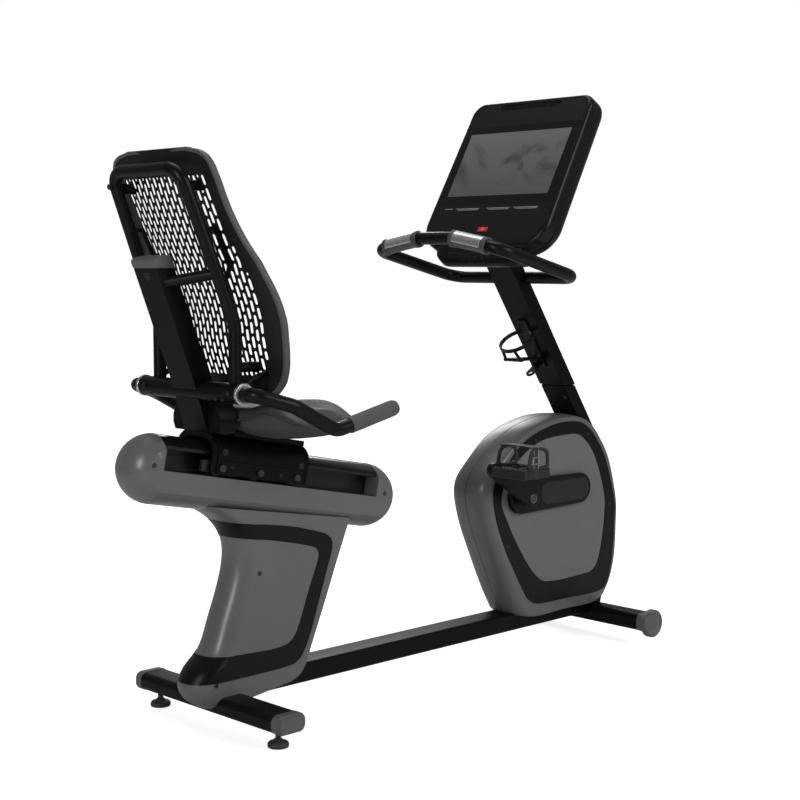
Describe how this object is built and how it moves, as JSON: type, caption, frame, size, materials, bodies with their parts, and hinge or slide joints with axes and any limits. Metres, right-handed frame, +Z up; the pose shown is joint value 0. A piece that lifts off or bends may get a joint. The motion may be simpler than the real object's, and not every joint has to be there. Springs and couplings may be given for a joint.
{
  "type": "recumbent exercise bike",
  "caption": "Stationary recumbent exercise bike: sliding seat on a rail, pedal drive in a shroud, leaning post with handlebar and console.",
  "frame": {"origin": "middle of the machine's length and width, on the floor", "axes": "+X forwards from the seat to the console, +Y to the rider's left, +Z up"},
  "size_m": [1.6245, 0.536, 1.4405],
  "materials": {
    "powder_black": "semi-gloss powder coat",
    "frame_black": "semi-gloss powder coat",
    "shroud_grey": "satin moulded",
    "trim_black": "semi-gloss moulded",
    "cap_grey": "satin moulded",
    "pad_rubber": "matte",
    "wheel_grey": "satin moulded",
    "rail_metal": "dark anodised",
    "steel_dark": "machined",
    "cast_dark": "turned",
    "panel_grey": "fine textured",
    "grip_dark": "soft moulded",
    "sensor_steel": "brushed",
    "console_black": "satin moulded",
    "screen_dark": "smooth, switched off",
    "button_red": "satin",
    "seat_vinyl": "grained vinyl",
    "back_black": "satin moulded",
    "collar_silver": "satin",
    "foam_grey": "foam",
    "pedal_black": "satin moulded",
    "strap_grey": "soft moulded",
    "roller_dark": "hard nylon"
  },
  "bodies": {
    "frame": {"rear_stabilizer": "powder_black", "rear_end_caps": "cap_grey", "levelling_feet": "pad_rubber", "main_beam": "powder_black", "front_stabilizer": "powder_black", "front_end_caps": "cap_grey", "wheel_brackets": "powder_black", "pedestal_shroud": "shroud_grey", "pedestal_band": "trim_black", "rail_housing": "shroud_grey", "rail_cover": "trim_black", "seat_rail": "rail_metal", "drive_shroud_left": "shroud_grey", "drive_shroud_right": "shroud_grey", "side_rings": "trim_black", "side_panels": "panel_grey", "crank_bosses": "trim_black", "front_strut": "powder_black", "drive_frame": "frame_black", "flywheel": "cast_dark", "post_socket": "powder_black", "console_post": "powder_black", "bottle_cage": "trim_black", "console_handlebar": "powder_black", "grip_sleeves": "grip_dark", "pulse_plates": "sensor_steel", "console_back": "console_black", "console_face": "console_black", "console_screen": "screen_dark", "stop_button": "button_red"},
    "seat": {"seat_carriage": "powder_black", "carriage_rollers": "roller_dark", "seat_bracket": "powder_black", "seat_cushion": "seat_vinyl", "seat_spine": "powder_black", "spine_cap": "cap_grey", "back_frame": "powder_black", "back_panel": "back_black", "panel_mounts": "powder_black", "lumbar_brackets": "powder_black", "cross_tube": "powder_black", "handle_collars": "collar_silver", "side_handles": "powder_black", "handle_grips": "foam_grey"},
    "cranks": {"crank_axle": "steel_dark", "crank_arms": "frame_black"},
    "pedal_left": {"pedal_left": "pedal_black", "strap_left": "strap_grey"},
    "pedal_right": {"pedal_right": "pedal_black", "strap_right": "strap_grey"},
    "wheel_left": {"wheel_left": "wheel_grey"},
    "wheel_right": {"wheel_right": "wheel_grey"}
  },
  "joints": [
    {"name": "seat_slide", "type": "slide", "parent": "frame", "child": "seat", "axis": [0.9813, 0, -0.1925], "range_m": [-0.09, 0.215]},
    {"name": "crank_spin", "type": "hinge", "parent": "frame", "child": "cranks", "pos_m": [0.35275, 0, 0.419], "axis": [0, 1, 0], "continuous": true},
    {"name": "pedal_left_spin", "type": "hinge", "parent": "cranks", "child": "pedal_left", "pos_m": [0.49359, 0.17, 0.33303], "axis": [0, 1, 0], "continuous": true},
    {"name": "pedal_right_spin", "type": "hinge", "parent": "cranks", "child": "pedal_right", "pos_m": [0.21191, -0.17, 0.50497], "axis": [0, 1, 0], "continuous": true},
    {"name": "wheel_left_spin", "type": "hinge", "parent": "frame", "child": "wheel_left", "pos_m": [0.77475, 0.177, 0.0375], "axis": [0, 1, 0], "continuous": true},
    {"name": "wheel_right_spin", "type": "hinge", "parent": "frame", "child": "wheel_right", "pos_m": [0.77475, -0.177, 0.0375], "axis": [0, 1, 0], "continuous": true}
  ]
}
